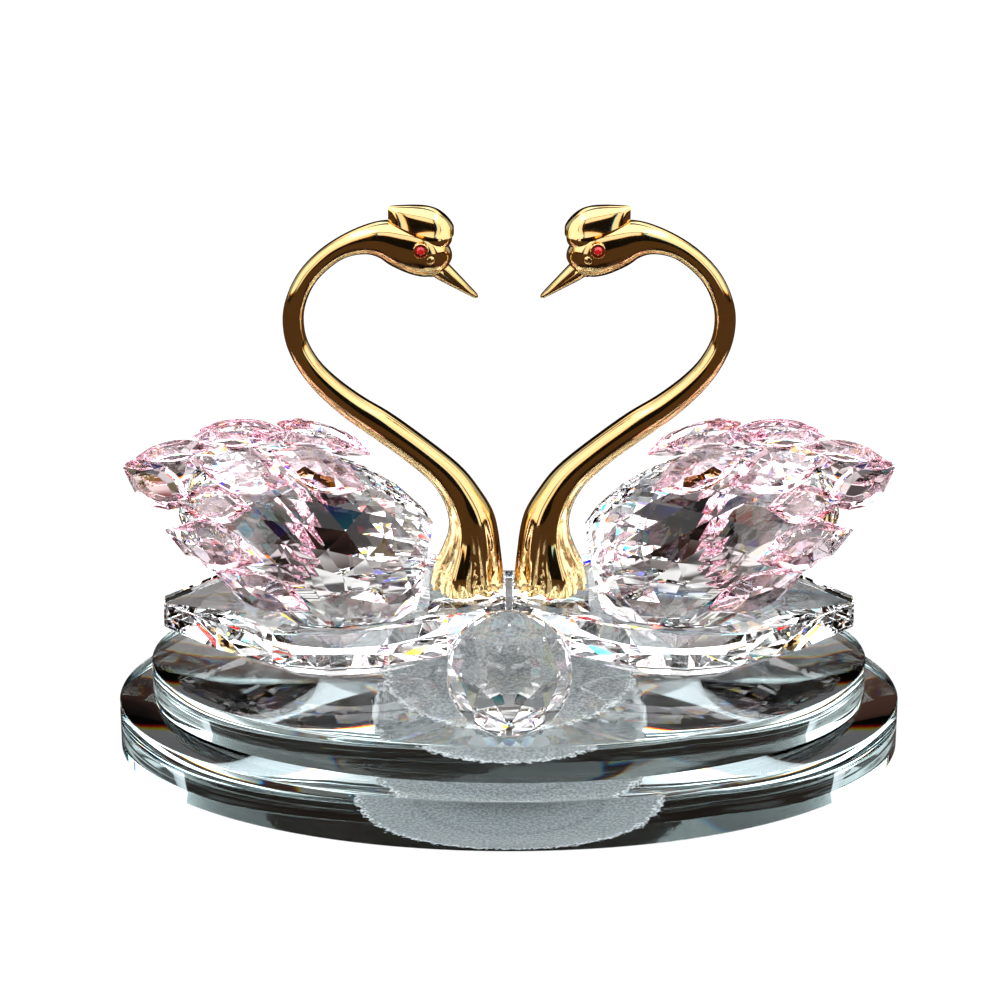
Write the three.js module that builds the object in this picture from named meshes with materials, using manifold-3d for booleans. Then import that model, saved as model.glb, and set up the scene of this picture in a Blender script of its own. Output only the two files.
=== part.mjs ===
// A pair of crystal swans on two stacked oval glass plates.
// Millimetres, +Z up. The origin is the middle of the lower plate's underside, on the surface that it
// stands on. X runs along the plates' length and -Y is the front.
import * as THREE from 'three';
import { ConvexGeometry } from 'three/addons/geometries/ConvexGeometry.js';
import { LoftGeometry } from 'three/addons/geometries/LoftGeometry.js';
import { mergeVertices } from 'three/addons/utils/BufferGeometryUtils.js';
import Module from 'manifold-3d';

const wasm = await Module();
wasm.setup();

// ---- Driving dimensions ----
const bond = 0.3; // clear glue line between two pieces

const lowerLength = 190;
const lowerWidth = 118;
const lowerThickness = 13;
const upperInset = 8.2; // the upper plate stands in by this all round
const upperThickness = 9.7;
const plateBevel = 0.6;
const plateSegments = 96;

const leafOuterTip = 83.4; // distance of the outer tip from the middle
const leafInnerEnd = 0.8;
const leafHalfWidth = 26;
const leafTipHalfWidth = 2.2;
const leafInnerHalfWidth = 9;
const leafBandBottom = 7.8; // heights above the leaf's own underside
const leafTipHeight = 14;
const leafDeckHeight = 17.4;
const leafWellFloor = 10.7;
const leafSeatRatio = 0.55; // underside flat, as a share of the leaf's outline
const leafSteps = 6; // straight lengths along each flank
const leafDeckMargin = 3; // the level rim reaches past the body's breast by this

const wellSides = 14;
const wellFloorMarginX = 9; // the dish's well reaches past the body's base by these, at its floor
const wellFloorMarginY = 4;
const wellRimMarginX = 23; // and well above its rim
const wellRimMarginY = 8;
const wellRimRise = 4;
const wellBreastGap = 0.8; // from the body's breast to the well's steep end

const ballRadius = 15;
const ballTableAngle = 30; // half angle of the octagonal table, degrees
const ballTableTilt = 24; // the table looks up by this
const ballFlatDrop = 13; // from the ball's centre to its ground flat
const ballEdgeMargin = 11; // from the ball's centre to the upper plate's front edge

const bodyCentreX = -47;
const bodyCentreRise = 20; // the egg's centre above its ground base
const bodyLong = 34; // half axes of the faceted egg
const bodyUp = 20.5;
const bodyDeep = 19;
const bodyTilt = 20; // tail raised by this, degrees
const bodyFacets = 12; // facets round each ring
const bodyBaseX = 12.5;
const bodyBaseY = 14.5;
const bodyBaseShift = 7; // the base sits this far towards the breast
const bodyRings = [14, 34, 55, 76, 98, 120, 142, 162]; // degrees from the tail
const bodyLean = 4.1; // the blunt breast face leans in by this over its rise
const bodyBreastRise = 20;
const bodyFootGap = 0.9; // from the neck's foot to the breast face

const stoneLength = 24;
const stoneWidth = 12.4;
const stoneBack = 2.2; // back flat to girdle
const stoneGirdle = 0.6;
const stoneCrown = 2.6; // girdle to table
const stoneSteps = 4; // straight lengths along each side
const stoneBackShare = [0.5, 0.42]; // back flat and table, as shares of the length and width
const stoneTableShare = [0.6, 0.55];

const footCentreX = 10.1;
const footDiameter = 16.8;
const footFlutes = 9;
const sidesPerFlute = 3;
const footFluteDepth = 0.07; // share of the foot's radius
const footFluteTop = 17; // the flutes fade out this far above the foot

const eyeRadius = 1.15;
const eyeDome = 1.1; // back of the eye stone to its table
const eyeCupWall = 0.35;
const eyeCupDepth = 0.8;
const eyeReach = 5.9; // the cup's rim from the middle of the head

// ---- Heights that follow ----
const upperBottom = lowerThickness + bond;
const deckTop = upperBottom + upperThickness; // the surface that everything stands on
const leafBottom = deckTop + bond;
const bodyBottom = leafBottom + leafWellFloor + bond;
const footBottom = leafBottom + leafDeckHeight + bond;
const footReach = (footDiameter / 2) * (1 + footFluteDepth);
const breastLow = -(footCentreX + footReach + bodyFootGap);

// ---- Materials ----
const plateGlass = new THREE.MeshStandardMaterial({
  name: 'plate_glass', color: 0xdfeaea, roughness: 0.03, metalness: 0 });
const clearCrystal = new THREE.MeshStandardMaterial({
  name: 'clear_crystal', color: 0xf4f4f6, roughness: 0.02, metalness: 0 });
const pinkCrystal = new THREE.MeshStandardMaterial({
  name: 'pink_crystal', color: 0xf0ccd8, roughness: 0.02, metalness: 0 });
const goldPlate = new THREE.MeshStandardMaterial({
  name: 'gold_plate', color: 0xe3b45a, roughness: 0.15, metalness: 1 });
const redCrystal = new THREE.MeshStandardMaterial({
  name: 'red_crystal', color: 0xd3121c, roughness: 0.05, metalness: 0 });

const rad = THREE.MathUtils.degToRad;

// ---- Joining and cutting ----
// A copy of a geometry that keeps only its corners, with shared corners merged.
function weld(geometry) {
  const bare = new THREE.BufferGeometry();
  bare.setAttribute('position', geometry.attributes.position.clone());
  bare.setIndex(geometry.index);
  return mergeVertices(bare, 1e-4);
}

function toSolid(geometry) {
  const merged = weld(geometry);
  const mesh = new wasm.Mesh({
    numProp: 3,
    vertProperties: new Float32Array(merged.attributes.position.array),
    triVerts: new Uint32Array(merged.index.array),
  });
  return new wasm.Manifold(mesh);
}

function toGeometry(solid) {
  const mesh = solid.getMesh();
  const geometry = new THREE.BufferGeometry();
  geometry.setAttribute('position', new THREE.BufferAttribute(new Float32Array(mesh.vertProperties), 3));
  geometry.setIndex(new THREE.BufferAttribute(new Uint32Array(mesh.triVerts), 1));
  geometry.computeVertexNormals();
  return geometry;
}

// The other swan's pieces are the mirror image across the middle of the figurine.
function mirrored(geometry) {
  const copy = weld(geometry).scale(-1, 1, 1);
  const index = copy.index.array;
  for (let i = 0; i < index.length; i += 3) {
    [index[i + 1], index[i + 2]] = [index[i + 2], index[i + 1]];
  }
  copy.computeVertexNormals();
  return copy;
}

function piece(name, geometry, material) {
  const mesh = new THREE.Mesh(geometry, material);
  mesh.name = name;
  return mesh;
}

// ---- Oval plates ----
function ovalRing(length, width, z) {
  const ring = [];
  for (let i = 0; i < plateSegments; i++) {
    const a = (i / plateSegments) * Math.PI * 2;
    ring.push(new THREE.Vector3(Math.cos(a) * length / 2, Math.sin(a) * width / 2, z));
  }
  return ring;
}

function ovalPlate(length, width, thickness, bottom) {
  const top = bottom + thickness;
  const rings = [
    ovalRing(length - 2 * plateBevel, width - 2 * plateBevel, bottom),
    ovalRing(length, width, bottom + plateBevel),
    ovalRing(length, width, top - plateBevel),
    ovalRing(length - 2 * plateBevel, width - 2 * plateBevel, top),
  ];
  return new LoftGeometry(rings, { capStart: true, capEnd: true });
}

// ---- Leaf-shaped crystal dishes ----
// Half width of the leaf at a share u of its length, from the outer tip to the inner end.
function leafHalfWidthAt(u) {
  const end = u < 0.5 ? leafTipHalfWidth : leafInnerHalfWidth;
  return end + (leafHalfWidth - end) * (1 - (2 * u - 1) ** 2);
}

function leafOutline(scale, heightAt) {
  const middle = -(leafOuterTip + leafInnerEnd) / 2;
  const half = (leafOuterTip - leafInnerEnd) / 2;
  const ring = [];
  for (let side = -1; side <= 1; side += 2) {
    for (let i = 0; i <= leafSteps; i++) {
      const u = side < 0 ? i / leafSteps : 1 - i / leafSteps;
      const x = middle + (2 * u - 1) * half * scale;
      const y = side * leafHalfWidthAt(u) * scale;
      ring.push(new THREE.Vector3(x, y, leafBottom + heightAt(x)));
    }
  }
  return ring;
}

// The rim is level under the neck's foot and falls gently to the outer tip.
function leafRimHeight(x) {
  const deckEnd = breastLow - leafDeckMargin;
  const fall = Math.max(0, (deckEnd - x) / (deckEnd + leafOuterTip));
  return leafDeckHeight + (leafTipHeight - leafDeckHeight) * fall;
}

function leafDish() {
  const blank = new LoftGeometry([
    leafOutline(leafSeatRatio, () => 0),
    leafOutline(1, () => leafBandBottom),
    leafOutline(1, leafRimHeight),
  ], { capStart: true, capEnd: true });
  const well = new ConvexGeometry([
    ...wellOutline(wellFloorMarginX, wellFloorMarginY, leafWellFloor),
    ...wellOutline(wellRimMarginX, wellRimMarginY, leafDeckHeight + wellRimRise),
  ]);
  return toGeometry(toSolid(blank).subtract(toSolid(well)));
}

function wellOutline(marginX, marginY, height) {
  const points = [];
  for (let i = 0; i < wellSides; i++) {
    const a = ((i + 0.5) / wellSides) * Math.PI * 2;
    const x = bodyBaseCentreX + Math.cos(a) * (bodyBaseX + marginX);
    const y = Math.sin(a) * (bodyBaseY + marginY);
    points.push(new THREE.Vector3(Math.min(x, breastLow + wellBreastGap), y, leafBottom + height));
  }
  return points;
}

// ---- Swan body ----
const bodyCentreZ = bodyBottom + bodyCentreRise;
const bodyBaseCentreX = bodyCentreX + bodyBaseShift;
const bodyAxis = new THREE.Vector3(-Math.cos(rad(bodyTilt)), 0, Math.sin(rad(bodyTilt)));
const bodyRise = new THREE.Vector3(Math.sin(rad(bodyTilt)), 0, Math.cos(rad(bodyTilt)));

// A point of the egg: t runs from the breast (-1) to the tail (1), and the turn goes from the back (0)
// over the front side (90) to the belly (180).
function bodyPoint(t, turn) {
  const r = Math.sqrt(1 - t * t);
  return new THREE.Vector3(bodyCentreX, 0, bodyCentreZ)
    .addScaledVector(bodyAxis, bodyLong * t)
    .addScaledVector(bodyRise, bodyUp * r * Math.cos(rad(turn)))
    .add(new THREE.Vector3(0, -bodyDeep * r * Math.sin(rad(turn)), 0));
}

function bodyNormal(t, turn) {
  const r = Math.sqrt(1 - t * t);
  return new THREE.Vector3()
    .addScaledVector(bodyAxis, t / bodyLong)
    .addScaledVector(bodyRise, (r * Math.cos(rad(turn))) / bodyUp)
    .add(new THREE.Vector3(0, (-r * Math.sin(rad(turn))) / bodyDeep, 0))
    .normalize();
}

// Each seat: place on the body (t, turn), the stone's heading along the body, how far its outer tip is
// lifted, and how far from its middle it is glued.
const stoneSeats = [
  { name: 'ridge_inner', t: 0.3, turn: 0, heading: 0, lift: -1, hold: -3, size: 0.8 },
  { name: 'ridge_middle', t: 0.6, turn: 0, heading: 0, lift: 6, hold: 5, size: 0.8 },
  { name: 'ridge_tail', t: 0.86, turn: 0, heading: 0, lift: 18, hold: 8, size: 0.8 },
  { name: 'upper_inner', t: 0.14, turn: 28, heading: -5, lift: 4, hold: 0, size: 1 },
  { name: 'upper_middle', t: 0.57, turn: 40, heading: -5, lift: 6, hold: 2, size: 1 },
  { name: 'upper_tail', t: 0.72, turn: 71, heading: 14, lift: 6, hold: 0, size: 0.78 },
  { name: 'tail', t: 0.93, turn: 78, heading: -4, lift: 28, hold: 7, size: 0.85 },
  { name: 'middle', t: 0.52, turn: 98, heading: 6, lift: 9, hold: 4.5, size: 1 },
  { name: 'lower', t: 0.16, turn: 115, heading: -2, lift: 2, hold: 2.5, size: 1 },
];

function swanBody() {
  const points = [];
  bodyRings.forEach((angle, ring) => {
    for (let i = 0; i < bodyFacets; i++) {
      const turn = ((i + (ring % 2) / 2) / bodyFacets) * 360;
      points.push(bodyPoint(Math.cos(rad(angle)), turn));
    }
  });
  stoneSeats.forEach((seat) => {
    points.push(bodyPoint(seat.t, seat.turn));
    points.push(bodyPoint(seat.t, -seat.turn));
  });
  for (let i = 0; i < bodyFacets; i++) {
    const a = ((i + 0.5) / bodyFacets) * Math.PI * 2;
    points.push(new THREE.Vector3(
      bodyBaseCentreX + Math.cos(a) * bodyBaseX, Math.sin(a) * bodyBaseY, bodyBottom));
  }
  // The belly is ground flat and the breast is cut to a plane that leans with the neck's foot.
  points.forEach((p) => {
    p.z = Math.max(p.z, bodyBottom);
    const share = (p.z - footBottom) / bodyBreastRise;
    p.x = Math.min(p.x, breastLow + bodyLean * share);
  });
  return new ConvexGeometry(points);
}


// ---- Pink wing stones ----
function navette([scaleX, scaleY], z) {
  const ring = [];
  for (let side = -1; side <= 1; side += 2) {
    for (let i = 0; i < stoneSteps; i++) {
      const u = -1 + (2 * i) / stoneSteps;
      const x = side < 0 ? u : -u;
      ring.push(new THREE.Vector3(
        (x * stoneLength * scaleX) / 2, (side * (1 - u * u) * stoneWidth * scaleY) / 2, z));
    }
  }
  return ring;
}

function wingStone(seat, side) {
  const stone = new ConvexGeometry([
    ...navette(stoneBackShare, 0),
    ...navette([1, 1], stoneBack),
    ...navette([1, 1], stoneBack + stoneGirdle),
    ...navette(stoneTableShare, stoneBack + stoneGirdle + stoneCrown),
  ]).scale(seat.size, seat.size, seat.size);
  const turn = seat.turn * side;
  const out = bodyNormal(seat.t, turn);
  const along = bodyAxis.clone().addScaledVector(out, -bodyAxis.dot(out)).normalize();
  along.applyAxisAngle(out, rad(seat.heading * side));
  const across = new THREE.Vector3().crossVectors(out, along);
  out.applyAxisAngle(across, -rad(seat.lift));
  along.applyAxisAngle(across, -rad(seat.lift));
  const place = bodyPoint(seat.t, turn)
    .addScaledVector(bodyNormal(seat.t, turn), bond)
    .addScaledVector(along, seat.hold);
  const frame = new THREE.Matrix4().makeBasis(along, across, out).setPosition(place);
  return stone.applyMatrix4(frame);
}

// ---- Crystal ball ----
function ball() {
  const upperFront = -(lowerWidth / 2 - upperInset);
  const centre = new THREE.Vector3(0, upperFront + ballEdgeMargin, deckTop + bond + ballFlatDrop);
  const axis = new THREE.Vector3(0, -Math.cos(rad(ballTableTilt)), Math.sin(rad(ballTableTilt)));
  const side = new THREE.Vector3(1, 0, 0);
  const up = new THREE.Vector3().crossVectors(side, axis);
  const rings = [
    [ballTableAngle, 8, 0.5],
    [ballTableAngle + 22, 8, 0],
    [ballTableAngle + 45, 16, 0.5],
    [ballTableAngle + 66, 16, 0],
    [ballTableAngle + 87, 16, 0.5],
    [ballTableAngle + 108, 8, 0],
    [ballTableAngle + 130, 8, 0.5],
  ];
  const points = [];
  rings.forEach(([angle, count, phase]) => {
    for (let i = 0; i < count; i++) {
      const a = ((i + phase) / count) * Math.PI * 2;
      points.push(centre.clone()
        .addScaledVector(axis, ballRadius * Math.cos(rad(angle)))
        .addScaledVector(side, ballRadius * Math.sin(rad(angle)) * Math.cos(a))
        .addScaledVector(up, ballRadius * Math.sin(rad(angle)) * Math.sin(a)));
    }
  });
  const waste = new THREE.BoxGeometry(4 * ballRadius, 4 * ballRadius, 2 * ballRadius);
  waste.translate(centre.x, centre.y, centre.z - ballFlatDrop - ballRadius);
  return toGeometry(toSolid(new ConvexGeometry(points)).subtract(toSolid(waste)));
}

// ---- Neck casting ----
// Stations from the foot to the brow: x, height above the foot, diameter, and width over diameter.
const neckStations = [
  [-footCentreX, 0, footDiameter, 1],
  [0.2 - footCentreX, 2.5, footDiameter, 1],
  [0.6 - footCentreX, 5, footDiameter - 0.5, 1],
  [-8.9, 9.2, 14, 1],
  [-8.6, 13.6, 12.2, 1],
  [-9.1, 18, 10.9, 1],
  [-11, 22.8, 9.2, 1],
  [-13.5, 27, 8.3, 1],
  [-17, 30.9, 7.6, 1],
  [-23.2, 36.2, 7.3, 1],
  [-30, 41.4, 7.3, 1],
  [-36.6, 46, 6.7, 1],
  [-42.7, 51.3, 6, 1],
  [-47, 56.5, 5.4, 1],
  [-49.8, 62.4, 5.1, 1],
  [-50.5, 68.4, 5, 1],
  [-49.4, 73.6, 4.8, 1],
  [-46.9, 78.5, 4.7, 1],
  [-43, 82.7, 4.8, 1],
  [-38.6, 85.7, 5.2, 1],
  [-33.6, 87.4, 6.8, 0.95],
  [-29.2, 87.6, 9.2, 0.88],
  [-25, 86.4, 11.4, 0.85],
  [-20.8, 84.9, 12, 0.85],
  [-17.6, 83.4, 10.6, 0.85],
  [-15.2, 82.2, 7, 0.85],
  [-14.2, 81.6, 3.4, 0.85],
];

function neckTube() {
  const path = new THREE.CatmullRomCurve3(
    neckStations.map(([x, z]) => new THREE.Vector3(x, 0, footBottom + z)));
  const spans = neckStations.length - 1;
  const sides = footFlutes * sidesPerFlute;
  const sections = [];
  for (let i = 0; i <= spans * 2; i++) {
    const k = Math.min(Math.floor(i / 2), spans - 1);
    const share = i / 2 - k;
    const diameter = THREE.MathUtils.lerp(neckStations[k][2], neckStations[k + 1][2], share);
    const ratio = THREE.MathUtils.lerp(neckStations[k][3], neckStations[k + 1][3], share);
    const centre = path.getPoint(i / 2 / spans);
    const along = i === 0 ? new THREE.Vector3(0, 0, 1) : path.getTangent(i / 2 / spans);
    const inPlane = new THREE.Vector3(along.z, 0, -along.x);
    const fade = Math.max(0, 1 - (centre.z - footBottom) / footFluteTop);
    const ring = [];
    for (let j = 0; j < sides; j++) {
      const a = (j / sides) * Math.PI * 2;
      const r = (diameter / 2) * (1 + footFluteDepth * fade * Math.cos(footFlutes * a));
      ring.push(centre.clone()
        .addScaledVector(inPlane, r * Math.cos(a))
        .add(new THREE.Vector3(0, r * ratio * Math.sin(a), 0)));
    }
    sections.push(ring);
  }
  return new LoftGeometry(sections, { capStart: true, capEnd: true });
}

// The feather crest: x, lowest and highest height above the foot, half width.
const crestStations = [
  [-28, 92, 96, 1],
  [-25.6, 91.2, 95.9, 2.4],
  [-22.6, 90.4, 95.8, 3.8],
  [-19.2, 89.8, 95.6, 4.7],
  [-16.2, 89.2, 94.8, 4.6],
  [-13.9, 88.8, 93, 3.4],
  [-12.8, 89, 91, 1.4],
];

function crest() {
  const sides = 14;
  const sections = crestStations.map(([x, low, high, half]) => {
    const ring = [];
    for (let j = 0; j < sides; j++) {
      const a = (j / sides) * Math.PI * 2;
      const z = footBottom + (low + high) / 2 + ((high - low) / 2) * Math.sin(a);
      ring.push(new THREE.Vector3(x, half * Math.cos(a), z));
    }
    return ring;
  });
  return new LoftGeometry(sections, { capStart: true, capEnd: true });
}

const beakRoot = new THREE.Vector3(-17.2, 0, footBottom + 81.2);
const beakTip = new THREE.Vector3(-7.4, 0, footBottom + 73.5);
const beakAxis = beakTip.clone().sub(beakRoot).normalize();

// The beak: share of the way to its tip, half height and half width.
const beakStations = [
  [0, 2, 2.2],
  [0.25, 1.8, 2],
  [0.6, 1.15, 1.6],
  [0.9, 0.65, 1.2],
  [1, 0.3, 0.6],
];

function beak() {
  const sides = 12;
  const across = new THREE.Vector3(0, 1, 0);
  const up = new THREE.Vector3().crossVectors(beakAxis, across);
  const sections = beakStations.map(([share, high, wide]) => {
    const ring = [];
    for (let j = 0; j < sides; j++) {
      const a = (j / sides) * Math.PI * 2;
      ring.push(beakRoot.clone().lerp(beakTip, share)
        .addScaledVector(across, wide * Math.cos(a))
        .addScaledVector(up, high * Math.sin(a)));
    }
    return ring;
  });
  return new LoftGeometry(sections, { capStart: true, capEnd: true });
}

function beakCollar() {
  const ring = new THREE.TorusGeometry(2.1, 0.8, 8, 18);
  const turn = new THREE.Quaternion().setFromUnitVectors(new THREE.Vector3(0, 0, 1), beakAxis);
  ring.applyQuaternion(turn);
  const place = beakRoot.clone().addScaledVector(beakAxis, 0.4);
  return ring.translate(place.x, place.y, place.z);
}

const eyeX = -20.4;
const eyeZ = footBottom + 86.6;
const mouthX = -18.4;
const mouthZ = footBottom + 84;

// A round bar across the head, from the middle out to the given reach on one side.
function crossBar(radius, from, to) {
  const bar = new THREE.CylinderGeometry(radius, radius, Math.abs(to - from), 16);
  return bar.translate(eyeX, (from + to) / 2, eyeZ);
}

function neckCasting() {
  let casting = toSolid(neckTube())
    .add(toSolid(crest()))
    .add(toSolid(beak()))
    .add(toSolid(beakCollar()));
  for (const side of [-1, 1]) {
    const knob = new THREE.SphereGeometry(1.4, 12, 8).translate(mouthX, side * 3.7, mouthZ);
    const cup = crossBar(eyeRadius + bond + eyeCupWall, side, side * eyeReach);
    const pocket = crossBar(eyeRadius + bond, side * (eyeReach - eyeCupDepth), side * (eyeReach + 1));
    casting = casting.add(toSolid(knob)).add(toSolid(cup)).subtract(toSolid(pocket));
  }
  return toGeometry(casting);
}

// ---- Eyes ----
function eyeStone(side) {
  const points = [];
  const back = eyeReach - eyeCupDepth + bond;
  for (let i = 0; i < 8; i++) {
    const a = (i / 8) * Math.PI * 2;
    const b = ((i + 0.5) / 8) * Math.PI * 2;
    const rim = new THREE.Vector3(Math.cos(a), 0, Math.sin(a)).multiplyScalar(eyeRadius);
    const table = new THREE.Vector3(Math.cos(b), 0, Math.sin(b)).multiplyScalar(eyeRadius * 0.55);
    points.push(rim.clone().setY(side * back));
    points.push(rim.clone().setY(side * (back + eyeDome * 0.4)));
    points.push(table.setY(side * (back + eyeDome)));
  }
  return new ConvexGeometry(points).translate(eyeX, 0, eyeZ);
}

// ---- Assembly ----
const swans = [
  ['left', (geometry) => geometry],
  ['right', mirrored],
];
const faces = [['front', 1], ['rear', -1]];

function swan(side, place) {
  const pieces = [
    piece(`${side}_leaf_dish`, place(leafDish()), clearCrystal),
    piece(`${side}_body`, place(swanBody()), clearCrystal),
    piece(`${side}_neck`, place(neckCasting()), goldPlate),
  ];
  faces.forEach(([face, sign]) => {
    pieces.push(piece(`${side}_eye_${face}`, place(eyeStone(-sign)), redCrystal));
  });
  stoneSeats.forEach((seat) => {
    const onBothFaces = seat.turn > 0;
    (onBothFaces ? faces : [['', 1]]).forEach(([face, sign]) => {
      const name = [side, 'stone', seat.name, face].filter(Boolean).join('_');
      pieces.push(piece(name, place(wingStone(seat, sign)), pinkCrystal));
    });
  });
  return pieces;
}

const upperLength = lowerLength - 2 * upperInset;
const upperWidth = lowerWidth - 2 * upperInset;
const figurine = new THREE.Group();
figurine.add(
  piece('lower_plate', ovalPlate(lowerLength, lowerWidth, lowerThickness, 0), plateGlass),
  piece('upper_plate', ovalPlate(upperLength, upperWidth, upperThickness, upperBottom), plateGlass),
  piece('crystal_ball', ball(), clearCrystal),
);
swans.forEach(([side, place]) => figurine.add(...swan(side, place)));

export default figurine;
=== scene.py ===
import bpy
import bmesh
import math
from mathutils import Matrix, Vector


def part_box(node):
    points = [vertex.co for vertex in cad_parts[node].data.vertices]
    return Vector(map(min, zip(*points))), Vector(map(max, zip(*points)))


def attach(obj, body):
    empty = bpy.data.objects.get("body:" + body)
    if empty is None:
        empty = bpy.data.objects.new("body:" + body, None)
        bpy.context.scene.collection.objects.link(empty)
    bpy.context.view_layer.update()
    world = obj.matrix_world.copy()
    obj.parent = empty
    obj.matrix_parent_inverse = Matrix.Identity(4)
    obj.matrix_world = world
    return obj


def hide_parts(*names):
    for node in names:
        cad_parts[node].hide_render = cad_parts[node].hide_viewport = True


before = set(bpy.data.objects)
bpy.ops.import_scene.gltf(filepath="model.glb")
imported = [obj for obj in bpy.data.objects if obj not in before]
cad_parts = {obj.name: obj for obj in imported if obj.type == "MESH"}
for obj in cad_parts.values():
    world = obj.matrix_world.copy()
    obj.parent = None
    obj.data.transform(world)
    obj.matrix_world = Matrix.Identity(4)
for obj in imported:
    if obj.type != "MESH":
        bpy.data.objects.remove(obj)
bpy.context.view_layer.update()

# ---- Camera ----
# A long lens, square to the figurine's front and looking down on it a little, so that the two swans
# stand side by side and the tops of both plates show.
AIM = Vector((-0.00215, 0, 0.0633))
CAMERA_DISTANCE = 0.8
CAMERA_PITCH = math.radians(22.4)

camera_data = bpy.data.cameras.new("camera")
camera_data.lens = 120.5
camera_data.sensor_width = 36
camera = bpy.data.objects.new("camera", camera_data)
camera.location = AIM + CAMERA_DISTANCE * Vector((0, -math.cos(CAMERA_PITCH), math.sin(CAMERA_PITCH)))
camera.rotation_euler = (math.pi / 2 - CAMERA_PITCH, 0, 0)
bpy.context.collection.objects.link(camera)
bpy.context.scene.camera = camera
bpy.context.scene.view_settings.view_transform = "Standard"


# ---- Studio ----
# Soft panels in a dark studio. Only the camera sees the floor as plain and pale: the glass bends light
# from a dark wooden mat and patchy paper round it, and mirrors show a dark warm bench and the panels
# dimmed. The panels' thin coloured rims stand in for the fire of cut glass.
class Wire:
    """A socket of a node tree, or a number. Sums and products of wires add Math nodes."""

    def __init__(self, tree, socket=None):
        self.tree = tree
        self.socket = socket

    def node(self, kind, settings=None, inputs=None, output=0):
        made = self.tree.nodes.new("ShaderNode" + kind)
        for name, value in (settings or {}).items():
            if name == "stops":
                ramp = made.color_ramp.elements
                while len(ramp) < len(value):
                    ramp.new(1)
                for stop, (place, colour) in zip(ramp, value):
                    stop.position = place
                    stop.color = (*colour, 1)
            else:
                setattr(made, name, value)
        for name, value in (inputs or {}).items():
            if isinstance(value, Wire):
                self.tree.links.new(value.socket, made.inputs[name])
            else:
                made.inputs[name].default_value = value
        return Wire(self.tree, made.outputs[output])

    def math(self, operation, *values):
        return self.node("Math", {"operation": operation}, dict(enumerate(values)))

    def __add__(self, other):
        return self.math("ADD", self, other)

    def __radd__(self, other):
        return self.math("ADD", other, self)

    def __sub__(self, other):
        return self.math("SUBTRACT", self, other)

    def __rsub__(self, other):
        return self.math("SUBTRACT", other, self)

    def __mul__(self, other):
        return self.math("MULTIPLY", self, other)

    def __truediv__(self, other):
        return self.math("DIVIDE", self, other)

    def absolute(self):
        return self.math("ABSOLUTE", self)

    def ease(self, low, high):
        """0 below low, 1 above high and smooth between."""
        return self.node("MapRange", {"interpolation_type": "SMOOTHSTEP"},
                         {"Value": self, "From Min": low, "From Max": high})

    def mix(self, factor, first, second):
        return self.node("Mix", {"data_type": "RGBA"}, {0: factor, 6: first, 7: second}, 2)

    def dot(self, direction):
        return self.node("VectorMath", {"operation": "DOT_PRODUCT"}, {0: self, 1: direction}, 1)


# azimuth from the front towards the right, elevation, half width, half height, strength, colour, fringe
PANELS = [
    (0, 80, 0.8, 0.5, 3.4, (1, 1, 1), 0.01),
    (-75, 32, 0.5, 0.55, 3.0, (1, 1, 1), 0.012),
    (78, 32, 0.5, 0.55, 3.0, (1, 1, 1), 0.012),
    (-38, 16, 0.12, 0.5, 2.6, (1, 0.97, 0.92), 0.012),
    (40, 16, 0.12, 0.5, 2.6, (1, 0.97, 0.92), 0.012),
    (0, 42, 0.4, 0.16, 2.4, (1, 1, 1), 0.01),
    (-146, 46, 0.34, 0.22, 2.8, (0.95, 0.98, 1), 0.012),
    (146, 46, 0.34, 0.22, 2.8, (0.95, 0.98, 1), 0.012),
    (-118, 16, 0.22, 0.34, 1.1, (0.88, 0.95, 1), 0),
    (118, 16, 0.22, 0.34, 1.1, (0.88, 0.95, 1), 0),
    (180, 50, 0.3, 0.1, 2.4, (1, 1, 1), 0.01),
]
PANEL_EDGE = 0.018
PANEL_AHEAD = (0.02, 0.1)  # fades the panels' image in the opposite half of the room
FRINGE_COLOURS = [(1, 0, 0), (0, 1, 0), (0, 0, 1)]
ROOM_DARK = (0.012, 0.009, 0.007, 1)
ROOM_PALE = (0.5, 0.5, 0.52, 1)
CEILING = (0.45, 0.95)  # the upward share of a direction where the room turns pale
BACKDROP = (1, 1, 1, 1)
MIRROR_DIM = 0.55  # what mirror reflections, above all the gold's, lose of the panels' light
CAMERA_RAY = 0
REFLECTED_RAY = 5

world = bpy.data.worlds.new("studio")
world.use_nodes = True
world.node_tree.nodes.clear()
start = Wire(world.node_tree)
look = start.node("TexCoord", output=0)
height = look.dot((0, 0, 1))
room = start.mix(height.ease(*CEILING), ROOM_DARK, ROOM_PALE)
for azimuth, elevation, wide, high, strength, tint, fringe in PANELS:
    a = math.radians(azimuth)
    e = math.radians(elevation)
    centre = Vector((math.sin(a) * math.cos(e), -math.cos(a) * math.cos(e), math.sin(e)))
    across = Vector((math.cos(a), math.sin(a), 0))
    up = across.cross(centre)
    depth = look.dot(centre)
    ahead = depth.ease(*PANEL_AHEAD)
    p = look.dot(across) / depth
    q = look.dot(up) / depth
    for k, primary in enumerate(FRINGE_COLOURS):
        shift = (k - 1) * fringe
        inside_p = 1 - (p + shift).absolute().ease(wide - PANEL_EDGE, wide)
        inside_q = 1 - (q + shift).absolute().ease(high - PANEL_EDGE, high)
        glow = [strength * tint[k] * share for share in primary]
        lit = start.mix(inside_p * inside_q * ahead, (0, 0, 0, 1), (*glow, 1))
        room = start.node("Mix", {"data_type": "RGBA", "blend_type": "ADD"}, {0: 1, 6: room, 7: lit}, 2)
to_camera = start.node("LightPath", output=CAMERA_RAY)
mirrored = start.node("LightPath", output=REFLECTED_RAY)
sky = start.node("Background", {}, {
    "Color": start.mix(to_camera, room, BACKDROP),
    "Strength": 1 - mirrored * MIRROR_DIM,
})
world_out = world.node_tree.nodes.new("ShaderNodeOutputWorld")
world.node_tree.links.new(sky.socket, world_out.inputs["Surface"])
bpy.context.scene.world = world

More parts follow.
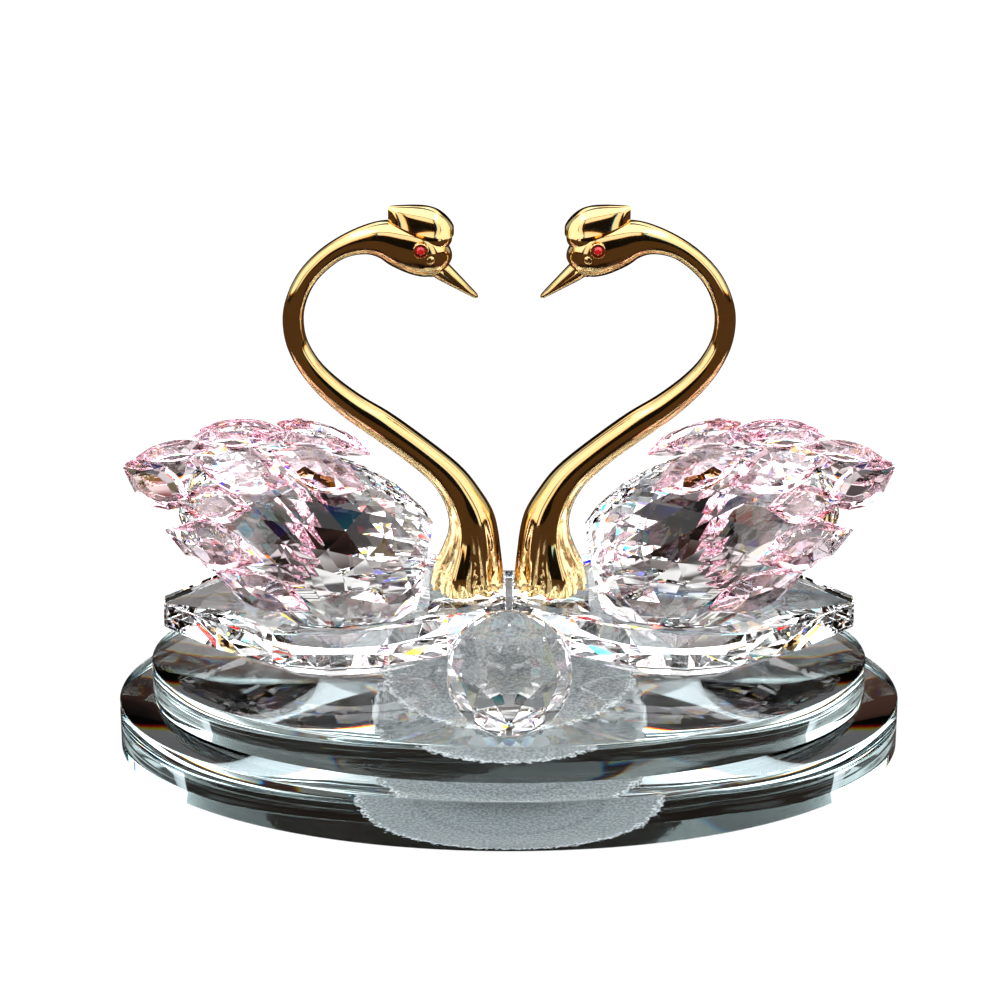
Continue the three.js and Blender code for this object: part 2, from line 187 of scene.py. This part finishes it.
FLOOR_HALF = 4
FLOOR_DROP = 0.0002
FLOOR_PALE = (0.9, 0.9, 0.9, 1)
BENCH_DARK = (0.006, 0.005, 0.005)
BENCH_BROWN = (0.07, 0.033, 0.024)
FLOOR_SHADED = 0.12  # how much of the floor's white takes the figurine's shadow
BENCH_SHADE = (0.1, 0.09, 0.088, 1)
BENCH_PALE = (1, 0.99, 0.98, 1)
BENCH_WARM = (0.075, 0.04, 0.018, 1)  # what mirror reflections show beyond the mat
MAT_SCALE = (9.5, 8, 0)  # the dark mat round the figurine, as one over its half sizes
MAT_SHIFT = (0, -0.2, 0)
MAT_FADE = 1.5

floor_mesh = bmesh.new()
bmesh.ops.create_grid(floor_mesh, x_segments=1, y_segments=1, size=FLOOR_HALF,
                      matrix=Matrix.Translation((0, 0, -FLOOR_DROP)))
floor_data = bpy.data.meshes.new("floor")
floor_mesh.to_mesh(floor_data)
floor = bpy.data.objects.new("floor", floor_data)
bpy.context.collection.objects.link(floor)
floor_material = bpy.data.materials.new("floor")
floor_material.use_nodes = True
floor_material.node_tree.nodes.clear()
start = Wire(floor_material.node_tree)
where = start.node("TexCoord", output=3)
grain = start.node("TexNoise", {}, {"Vector": where, "Scale": 16, "Detail": 3, "Roughness": 0.5})
wood = start.node("ValToRGB", {"stops": [(0.44, BENCH_DARK), (0.56, BENCH_BROWN)]}, {"Fac": grain})
spread = start.node("VectorMath", {"operation": "MULTIPLY_ADD"}, {0: where, 1: MAT_SCALE, 2: MAT_SHIFT})
reach = start.node("VectorMath", {"operation": "LENGTH"}, {0: spread}, 1)
patches = start.node("TexNoise", {}, {"Vector": where, "Scale": 24, "Detail": 2, "Roughness": 0.5})
paper = start.mix(patches.ease(0.44, 0.56), BENCH_SHADE, BENCH_PALE)
mirrored = start.node("LightPath", output=REFLECTED_RAY)
bench = start.mix(reach.ease(1, MAT_FADE), wood, start.mix(mirrored, paper, BENCH_WARM))
pale = start.node("Emission", {}, {"Color": (1, 1, 1, 1), "Strength": 1.0})
shaded = start.node("BsdfDiffuse", {}, {"Color": FLOOR_PALE})
pale_floor = start.node("MixShader", {}, {0: FLOOR_SHADED, 1: pale, 2: shaded})
dark_bench = start.node("Emission", {}, {"Color": bench, "Strength": 1})
to_camera = start.node("LightPath", output=CAMERA_RAY)
floor_shader = start.node("MixShader", {}, {0: to_camera, 1: dark_bench, 2: pale_floor})
floor_out = floor_material.node_tree.nodes.new("ShaderNodeOutputMaterial")
floor_material.node_tree.links.new(floor_shader.socket, floor_out.inputs["Surface"])
floor_data.materials.append(floor_material)

cycles = bpy.context.scene.cycles
cycles.max_bounces = 28
cycles.transmission_bounces = 24
cycles.glossy_bounces = 12
cycles.diffuse_bounces = 4
cycles.sample_clamp_indirect = 8
cycles.blur_glossy = 0.05
cycles.use_denoising = True


# ---- Plates ----
# Two oval plates of thick polished glass, the smaller glued on the larger. Each has a ground and polished
# rim with small chamfers, and a round sandblasted patch under its middle that hides the glue.
PLATE_SEGMENTS = 320
PLATE_CHAMFER = 0.0006
PLATE_TINT = (0.5, 0.82, 0.84, 1)
PLATE_DEPTH = 3.2
FROST_DARK = (0.13, 0.145, 0.152, 1)
FROST_PALE = (0.44, 0.465, 0.48, 1)
FROST_FLAKE = (0.82, 0.85, 0.87, 1)
FROST_RAGGED = 0.0055  # how far the rim wanders in and out
FROST_RIM = 0.0004
FROST_SKIN = (0.0001, 0.0003)  # the frost ends between these heights above the underside
STEP_PLACE = 0.62  # a faint ring left by the blasting, as a share of the radius
STEP_WIDE = 0.0014
FLAKE_INSET = 0.0007
FLAKE_BAND = (0.0002, 0.001)
GRIT_SCALE = 1300
RAGGED_SCALE = 620
HAZE_ROUGHNESS = 0.006
SOFT_EDGE = math.radians(25)
GLASS_IOR = 1.52


def finish_piece(mesh, name, material, replaced):
    """Makes a piece of a bmesh: its object rides on the figurine and stands for a CAD node."""
    for edge in mesh.edges:
        edge.smooth = edge.is_manifold and edge.calc_face_angle(0) < SOFT_EDGE
    for face in mesh.faces:
        face.smooth = True
    data = bpy.data.meshes.new(name)
    mesh.to_mesh(data)
    mesh.free()
    data.materials.append(material)
    made = bpy.data.objects.new(name, data)
    bpy.context.collection.objects.link(made)
    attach(made, "root")
    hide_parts(replaced)
    return made


def new_material(name):
    material = bpy.data.materials.new(name)
    material.use_nodes = True
    material.node_tree.nodes.clear()
    return material, Wire(material.node_tree)


def show(material, surface, volume=None):
    out = material.node_tree.nodes.new("ShaderNodeOutputMaterial")
    material.node_tree.links.new(surface.socket, out.inputs["Surface"])
    if volume:
        material.node_tree.links.new(volume.socket, out.inputs["Volume"])


def plate_material(name, low, frost_radius, frost_forward):
    material, start = new_material(name)
    where = start.node("TexCoord", output=3)
    haze = start.node("TexNoise", {}, {"Vector": where, "Scale": 60, "Detail": 2})
    clear = start.node("BsdfPrincipled", {}, {
        "Base Color": start.mix(haze, (0.985, 0.995, 0.99, 1), (1, 1, 1, 1)),
        "Roughness": haze * HAZE_ROUGHNESS,
        "IOR": GLASS_IOR,
        "Transmission Weight": 1,
    })
    tint = start.node("VolumeAbsorption", {}, {"Color": PLATE_TINT, "Density": PLATE_DEPTH})
    height = where.dot((0, 0, 1))
    flat = start.node("VectorMath", {"operation": "MULTIPLY_ADD"},
                      {0: where, 1: (1, 1, 0), 2: (0, frost_forward, 0)})
    radius = start.node("VectorMath", {"operation": "LENGTH"}, {0: flat}, 1)
    ragged = start.node("TexNoise", {},
                        {"Vector": flat, "Scale": RAGGED_SCALE, "Detail": 3, "Roughness": 0.6})
    edge = radius + (ragged - 0.5) * FROST_RAGGED
    inside = 1 - edge.ease(frost_radius - FROST_RIM, frost_radius + FROST_RIM)
    under = 1 - height.ease(low + FROST_SKIN[0], low + FROST_SKIN[1])
    grit = start.node("TexNoise", {},
                      {"Vector": where, "Scale": GRIT_SCALE, "Detail": 3, "Roughness": 0.75})
    step = 1 - (radius - frost_radius * STEP_PLACE).absolute().ease(0, STEP_WIDE)
    ground = start.mix(grit.ease(0.38, 0.64) * 0.8 + 0.2 - step * 0.2, FROST_DARK, FROST_PALE)
    flakes = 1 - (edge - frost_radius + FLAKE_INSET).absolute().ease(*FLAKE_BAND)
    frost = start.node("BsdfPrincipled", {}, {
        "Base Color": start.mix(flakes * grit.ease(0.42, 0.55), ground, FROST_FLAKE),
        "Roughness": 0.7,
        "Normal": start.node("Bump", {}, {"Strength": 0.25, "Distance": 0.0002, "Height": grit}),
    })
    show(material, start.node("MixShader", {}, {0: inside * under, 1: clear, 2: frost}), tint)
    return material


def oval_plate(name, frost_radius, frost_forward):
    low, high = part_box(name)
    mesh = bmesh.new()
    bmesh.ops.create_circle(mesh, cap_ends=True, segments=PLATE_SEGMENTS, radius=1)
    bmesh.ops.scale(mesh, verts=mesh.verts, vec=((high[0] - low[0]) / 2, (high[1] - low[1]) / 2, 1))
    bmesh.ops.translate(mesh, verts=mesh.verts, vec=(0, 0, low[2]))
    grown = bmesh.ops.extrude_face_region(mesh, geom=mesh.faces[:])["geom"]
    top = [v for v in grown if isinstance(v, bmesh.types.BMVert)]
    bmesh.ops.translate(mesh, verts=top, vec=(0, 0, high[2] - low[2]))
    bmesh.ops.recalc_face_normals(mesh, faces=mesh.faces)
    rims = [e for e in mesh.edges if abs(e.verts[0].co.z - e.verts[1].co.z) < 1e-6]
    bmesh.ops.bevel(mesh, geom=rims, offset=PLATE_CHAMFER, offset_type="OFFSET", affect="EDGES",
                    segments=2, profile=0.5, material=-1)
    glass = plate_material(name, low[2], frost_radius, frost_forward)
    finish_piece(mesh, name + "_glass", glass, name)


# the radius of each frosted patch and how far it lies towards the front
oval_plate("lower_plate", 0.034, 0.022)
oval_plate("upper_plate", 0.030, 0.004)


# ---- Clear crystal: the leaf dishes, the swans' bodies and the ball ----
# Cut and polished lead-free crystal. Each piece is ground in flat facets whose edges keep a hair-thin
# polished land, and is glued to what it stands on.
CRYSTAL_IOR = 1.56
DISH_LAND = 0.00012
CRYSTAL_LAND = 0.0001
EYE_LAND = 0.00005
FLAT_JOIN = math.radians(0.6)
FACET_EDGE = math.radians(4)


def crystal_material(name, tint, density, streak):
    material, start = new_material(name)
    where = start.node("TexCoord", output=3)
    cloud = start.node("TexNoise", {}, {"Vector": where, "Scale": 90, "Detail": 3})
    surface = start.node("BsdfPrincipled", {}, {
        "Base Color": start.mix(cloud.ease(0.35, 0.65), streak, (1, 1, 1, 1)),
        "Roughness": cloud * 0.008,
        "IOR": CRYSTAL_IOR,
        "Transmission Weight": 1,
    })
    show(material, surface, start.node("VolumeAbsorption", {}, {"Color": tint, "Density": density}))
    return material


def land_and_finish(mesh, name, material, land, replaced):
    bmesh.ops.dissolve_limit(mesh, angle_limit=FLAT_JOIN, verts=mesh.verts, edges=mesh.edges)
    sharp = [e for e in mesh.edges if e.calc_face_angle(0) > FACET_EDGE]
    bmesh.ops.bevel(mesh, geom=sharp, offset=land, offset_type="OFFSET", affect="EDGES",
                    segments=1, profile=0.5, material=-1, clamp_overlap=True)
    made = finish_piece(mesh, name, material, replaced)
    for face in made.data.polygons:
        face.use_smooth = False


def cut_crystal(node, material, land):
    """A finished crystal of a CAD node's shape, with a narrow polished land along each facet edge."""
    mesh = bmesh.new()
    mesh.from_mesh(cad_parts[node].data)
    bmesh.ops.remove_doubles(mesh, verts=mesh.verts, dist=1e-6)
    land_and_finish(mesh, node + "_cut", material, land, node)


# The egg of a body: where its middle is, its half axes and how far its tail is raised.
EGG_X = 0.047
EGG_RISE = 0.02
EGG_AXES = (0.034, 0.019, 0.0205)
EGG_TILT = math.radians(20)
EGG_FIT = 0.985
BASE_X = 0.040
BASE_AXES = (0.0125, 0.0145)
BREAST_LEAN = 4.1 / 20


def swan_body(side):
    """A faceted egg on a ground base, its breast cut to a plane beside the neck's foot."""
    hand = -1 if side == "left" else 1
    node = side + "_body"
    low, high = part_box(node)
    mesh = bmesh.new()
    shape = (Matrix.Translation((hand * EGG_X, 0, low[2] + EGG_RISE))
             @ Matrix.Rotation(-hand * EGG_TILT, 4, "Y")
             @ Matrix.Diagonal((*(EGG_FIT * half for half in EGG_AXES), 1))
             @ Matrix.Rotation(math.pi / 2, 4, "X"))
    bmesh.ops.create_icosphere(mesh, subdivisions=3, radius=1, matrix=shape)
    base = bmesh.ops.create_circle(mesh, segments=16, radius=1)["verts"]
    bmesh.ops.scale(mesh, verts=base, vec=(*BASE_AXES, 1))
    bmesh.ops.translate(mesh, verts=base, vec=(hand * BASE_X, 0, low[2]))
    hull = bmesh.ops.convex_hull(mesh, input=mesh.verts)
    bmesh.ops.delete(mesh, geom=hull["geom_interior"] + hull["geom_unused"], context="VERTS")
    breast = low[0] if hand > 0 else high[0]
    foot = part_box(side + "_neck")[0][2]
    for place, out in (((0, 0, low[2]), (0, 0, -1)),
                       ((breast, 0, foot + 0.02), (-hand, 0, -BREAST_LEAN))):
        cut = bmesh.ops.bisect_plane(mesh, geom=mesh.verts[:] + mesh.edges[:] + mesh.faces[:],
                                     plane_co=place, plane_no=out, clear_outer=True)["geom_cut"]
        rim = [e for e in cut if isinstance(e, bmesh.types.BMEdge)]
        if rim:
            bmesh.ops.contextual_create(mesh, geom=rim)
    bmesh.ops.recalc_face_normals(mesh, faces=mesh.faces)
    land_and_finish(mesh, node + "_cut", clear_crystal, CRYSTAL_LAND, node)


clear_crystal = crystal_material("clear_crystal", (0.93, 0.97, 0.98, 1), 2, (0.985, 0.988, 0.995, 1))
for side in ("left", "right"):
    cut_crystal(side + "_leaf_dish", clear_crystal, DISH_LAND)
    swan_body(side)
cut_crystal("crystal_ball", clear_crystal, CRYSTAL_LAND)


# ---- Wing stones ----
# Pale pink marquise-cut crystal, fifteen stones to a swan. They are glued to the body by their flat
# backs, overlapping like shingles: three along the ridge and six down each flank.
pink_crystal = crystal_material("pink_crystal", (1, 0.6, 0.72, 1), 55, (1, 0.97, 0.98, 1))
for node in sorted(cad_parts):
    if "_stone_" in node:
        cut_crystal(node, pink_crystal, CRYSTAL_LAND)


# ---- Gold necks ----
# One polished brass casting to a swan, plated in gold: a pleated, feathered foot glued on the dish, a
# slim S-shaped neck, and the head with its leaf-shaped crest, beak, collar, cheek knobs and eye cups.
MM = 0.001
FOOT_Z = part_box("left_neck")[0][2]
# distance from the middle, height above the foot, diameter, and width over diameter, in millimetres
NECK_STATIONS = [
    (10.1, 0, 16.8, 1), (9.9, 2.5, 16.6, 1), (9.5, 5, 16.1, 1), (8.9, 9.2, 14, 1),
    (8.6, 13.6, 12.2, 1), (9.1, 18, 10.9, 1), (11, 22.8, 9.2, 1), (13.5, 27, 8.3, 1),
    (17, 30.9, 7.6, 1), (23.2, 36.2, 7.3, 1), (30, 41.4, 7.3, 1), (36.6, 46, 6.7, 1),
    (42.7, 51.3, 6, 1), (47, 56.5, 5.4, 1), (49.8, 62.4, 5.1, 1), (50.5, 68.4, 5, 1),
    (49.4, 73.6, 4.8, 1), (46.9, 78.5, 4.7, 1), (43, 82.7, 4.8, 1), (38.6, 85.7, 5.2, 1),
    (33.6, 87.4, 6.8, 0.95), (29.2, 87.6, 9.2, 0.88), (25, 86.4, 11.4, 0.85), (20.8, 84.9, 12, 0.85),
    (17.6, 83.4, 10.6, 0.85), (15.2, 82.2, 7, 0.85), (14.2, 81.6, 3.4, 0.85),
]
NECK_STEPS = 6
NECK_SIDES = 90
PLEATS = 10
PLEAT_DEPTH = 0.17
PLEAT_TOP = 21  # the height at which the pleats have faded out
PLEAT_SWAY = 0.35  # how unevenly the pleats are spread round the foot
FINE_PLEAT_DEPTH = 0.06
FOOT_FLARE = 0.05
HEM_SCALLOP = 1.1
HEM_HEIGHT = 4
# distance from the middle, underside, top, half width and height of the rolled lip
CREST_STATIONS = [
    (28, 92.6, 95.6, 0.7, 1.9), (26.6, 91.9, 95.8, 1.9, 2.0), (24.6, 91.2, 95.85, 3.0, 1.7),
    (22.2, 90.5, 95.9, 3.9, 1.3), (19.2, 89.9, 95.7, 4.6, 0.9), (16.6, 89.4, 94.9, 4.5, 0.7),
    (14.6, 89.0, 93.4, 3.7, 0.6), (13.3, 88.9, 91.8, 2.4, 0.5), (12.8, 89.2, 90.8, 1.1, 0.3),
]
CREST_SIDES = 36
CREST_BELLY = 0.25
CREST_FLARE = 1.1  # how far the rolled lip stands out past the dome
CREST_DRAW = 0.16
BEAK_ROOT = (17.2, 81.2)
BEAK_TIP = (7.4, 73.5)
# share of the way to the tip, half height, half width
BEAK_STATIONS = [(0, 2.4, 2.3), (0.2, 2.25, 2.1), (0.4, 1.85, 1.9), (0.65, 1.3, 1.6), (0.85, 0.85, 1.3),
                 (0.95, 0.6, 1.0), (1, 0.3, 0.6)]
BEAK_SIDES = 32
BEAK_GROOVE = 0.14
EYE = (20.4, 86.6)
EYE_CUP = 1.8
EYE_CUP_WALL = 0.42
EYE_CUP_REACH = 5.9
EYE_CUP_DEEP = 4
EYE_SEAT = 0.8  # how far below the cup's rim the stone's seat lies
EYE_CUP_BORE = 0.2
COLLAR = (2.1, 0.8, 0.4)  # ring radius, radius of its round, place along the beak
KNOB = (18.4, 84.0, 3.7, 1.4)  # distance from the middle, height, out to the side, radius
BROW = (18.2, 87.9)
BROW_AXES = (5.0, 3.9, 3.3)


def smooth_run(stations, steps):
    """A Catmull-Rom run through the stations, each a tuple of numbers."""
    last = len(stations) - 1
    run = []
    for i in range(last * steps + 1):
        k = min(i // steps, last - 1)
        t = i / steps - k
        a, b, c, d = (Vector(stations[min(max(j, 0), last)]) for j in range(k - 1, k + 3))
        run.append(0.5 * (2 * b + (c - a) * t + (2 * a - 5 * b + 4 * c - d) * t ** 2
                          + (3 * b - a - 3 * c + d) * t ** 3))
    return run


def loft(mesh, sections):
    """Skins closed rings of points by extruding each from the last, and closes both ends."""
    ring = bmesh.ops.create_circle(mesh, segments=len(sections[0]), radius=1)["verts"]
    edges = list({e for v in ring for e in v.link_edges})
    first = edges
    for vert, place in zip(ring, sections[0]):
        vert.co = place
    for section in sections[1:]:
        grown = bmesh.ops.extrude_edge_only(mesh, edges=edges)["geom"]
        fresh = {v for v in grown if isinstance(v, bmesh.types.BMVert)}
        ring = [next(e.other_vert(v) for e in v.link_edges if e.other_vert(v) in fresh) for v in ring]
        for vert, place in zip(ring, section):
            vert.co = place
        edges = [e for e in grown if isinstance(e, bmesh.types.BMEdge) and set(e.verts) <= fresh]
    for rim in (first, edges):
        bmesh.ops.contextual_create(mesh, geom=rim)


def neck_sections():
    run = smooth_run(NECK_STATIONS, NECK_STEPS)
    sections = []
    for i, (x, z, diameter, ratio) in enumerate(run):
        before = run[max(i - 1, 0)]
        after = run[min(i + 1, len(run) - 1)]
        along = Vector((before[0] - after[0], 0, after[1] - before[1])).normalized()
        if i == 0:
            along = Vector((0, 0, 1))
        inward = Vector((along.z, 0, -along.x))
        fade = max(0, 1 - z / PLEAT_TOP) ** 1.3
        hem = max(0, 1 - z / HEM_HEIGHT)
        ring = []
        for j in range(NECK_SIDES):
            a = math.tau * j / NECK_SIDES
            twist = a + PLEAT_SWAY * fade * math.sin(2 * a + 0.6)
            lobe = abs(math.cos(PLEATS * twist / 2)) ** 0.7
            second = abs(math.cos(PLEATS * twist + 0.8 * math.sin(3 * a) + z * 0.09)) ** 0.8
            cut = fade * (PLEAT_DEPTH * (1 - lobe) + FINE_PLEAT_DEPTH * (1 - second))
            r = diameter / 2 * (1 + FOOT_FLARE * fade - cut)
            lift = HEM_SCALLOP * hem * (1 - lobe)
            place = (Vector((-x, 0, z)) + inward * r * math.cos(a)
                     + Vector((0, r * ratio * math.sin(a), lift)))
            ring.append(place * MM + Vector((0, 0, FOOT_Z)))
        sections.append(ring)
    return sections


def crest_sections():
    sections = []
    for x, low, high, half, lip in smooth_run(CREST_STATIONS, 5):
        ring = []
        for j in range(CREST_SIDES):
            a = math.tau * j / CREST_SIDES
            if math.sin(a) < 0:
                y = CREST_FLARE * half * math.cos(a)
                z = low + CREST_BELLY * math.sin(a)
            else:
                rise = min(math.sin(a) * 3, 1)
                dome = 0.5 - 0.5 * math.cos(rise * math.pi)
                crown = max(0, math.sin(a) - 0.12) / 0.88
                y = half * (CREST_FLARE - CREST_DRAW * dome) * math.cos(a)
                z = low + lip * rise + (high - low - lip) * crown
            ring.append(Vector((-x, y, z)) * MM + Vector((0, 0, FOOT_Z)))
        sections.append(ring)
    return sections


def beak_sections():
    root = Vector((-BEAK_ROOT[0], 0, BEAK_ROOT[1]))
    tip = Vector((-BEAK_TIP[0], 0, BEAK_TIP[1]))
    along = (tip - root).normalized()
    up = Vector((0, -1, 0)).cross(along)
    sections = []
    for share, high, wide in smooth_run(BEAK_STATIONS, 5):
        ring = []
        for j in range(BEAK_SIDES):
            a = math.tau * j / BEAK_SIDES
            groove = 1 - BEAK_GROOVE * max(0, 1 - abs(math.sin(a + 0.25)) * 6) * (1 - share)
            ring.append((root.lerp(tip, share) + Vector((0, wide * math.cos(a) * groove, 0))
                         + up * high * math.sin(a)) * MM + Vector((0, 0, FOOT_Z)))
        sections.append(ring)
    return sections


def spun(mesh, profile, centre, axis):
    """A closed ring, spun from a profile of (distance from the axis, place along it)."""
    turn = Vector((0, 0, 1)).rotation_difference(axis).to_matrix()
    verts = [mesh.verts.new(centre + turn @ Vector((r, 0, h))) for r, h in profile]
    edges = [mesh.edges.new((verts[i], verts[(i + 1) % len(verts)])) for i in range(len(verts))]
    bmesh.ops.spin(mesh, geom=verts + edges, cent=centre, axis=axis, angle=math.tau, steps=32,
                   use_merge=True, use_duplicate=False)


gold_material, start = new_material("gold_plate")
where = start.node("TexCoord", output=3)
polish = start.node("TexNoise", {}, {"Vector": where, "Scale": 140, "Detail": 4})
show(gold_material, start.node("BsdfPrincipled", {}, {
    "Base Color": start.mix(polish, (0.93, 0.62, 0.25, 1), (1, 0.74, 0.36, 1)),
    "Metallic": 1,
    "Roughness": 0.05 + polish * 0.06,
}))

for side, hand in (("left", 1), ("right", -1)):
    mesh = bmesh.new()
    loft(mesh, neck_sections())
    loft(mesh, crest_sections())
    loft(mesh, beak_sections())
    root = Vector((-BEAK_ROOT[0], 0, BEAK_ROOT[1]))
    beak_axis = (Vector((-BEAK_TIP[0], 0, BEAK_TIP[1])) - root).normalized()
    foot = Vector((0, 0, FOOT_Z))
    ring, round_radius, along = COLLAR
    collar = [((ring + round_radius * math.cos(t)) * MM, round_radius * MM * math.sin(t))
              for t in (math.tau * k / 12 for k in range(12))]
    spun(mesh, collar, (root + beak_axis * along) * MM + foot, beak_axis)
    brow = Matrix.Translation(Vector((-BROW[0], 0, BROW[1])) * MM + foot)
    bmesh.ops.create_uvsphere(mesh, u_segments=40, v_segments=24, radius=MM,
                              matrix=brow @ Matrix.Diagonal((*BROW_AXES, 1)))
    for face in (-1, 1):
        knob = Vector((-KNOB[0], face * KNOB[2], KNOB[1])) * MM + foot
        bmesh.ops.create_uvsphere(mesh, u_segments=24, v_segments=16, radius=KNOB[3] * MM,
                                  matrix=Matrix.Translation(knob))
        inner = EYE_CUP - EYE_CUP_WALL
        cup = [(EYE_CUP_BORE, -EYE_CUP_DEEP), (EYE_CUP, -EYE_CUP_DEEP), (EYE_CUP, -0.15),
               (EYE_CUP - 0.12, 0), (inner + 0.1, 0), (inner, -0.12), (inner, -EYE_SEAT),
               (EYE_CUP_BORE, -EYE_SEAT)]
        spun(mesh, [(r * MM, h * MM) for r, h in cup],
             Vector((-EYE[0], face * EYE_CUP_REACH, EYE[1])) * MM + foot, Vector((0, face, 0)))
    bmesh.ops.scale(mesh, verts=mesh.verts, vec=(hand, 1, 1))
    bmesh.ops.remove_doubles(mesh, verts=mesh.verts, dist=1e-7)
    bmesh.ops.recalc_face_normals(mesh, faces=mesh.faces)
    finish_piece(mesh, side + "_neck_gold", gold_material, side + "_neck")


# ---- Eyes ----
# A round red crystal backed with foil, so it is opaque and bright. One is set in each of the four
# eye cups of the necks.
red_material, start = new_material("red_crystal")
where = start.node("TexCoord", output=3)
# Painted sparkle: this noise makes brighter and darker red blotches that stand in for light glinting off
# the foil behind the facets.
painted_sparkle = start.node("TexNoise", {}, {"Vector": where, "Scale": 900})
show(red_material, start.node("BsdfPrincipled", {}, {
    "Base Color": start.mix(painted_sparkle.ease(0.4, 0.6), (0.42, 0.0, 0.008, 1), (0.85, 0.012, 0.02, 1)),
    "Roughness": 0.08,
    "Coat Weight": 1,
}))
for side in ("left", "right"):
    for face in ("front", "rear"):
        cut_crystal(f"{side}_eye_{face}", red_material, EYE_LAND)
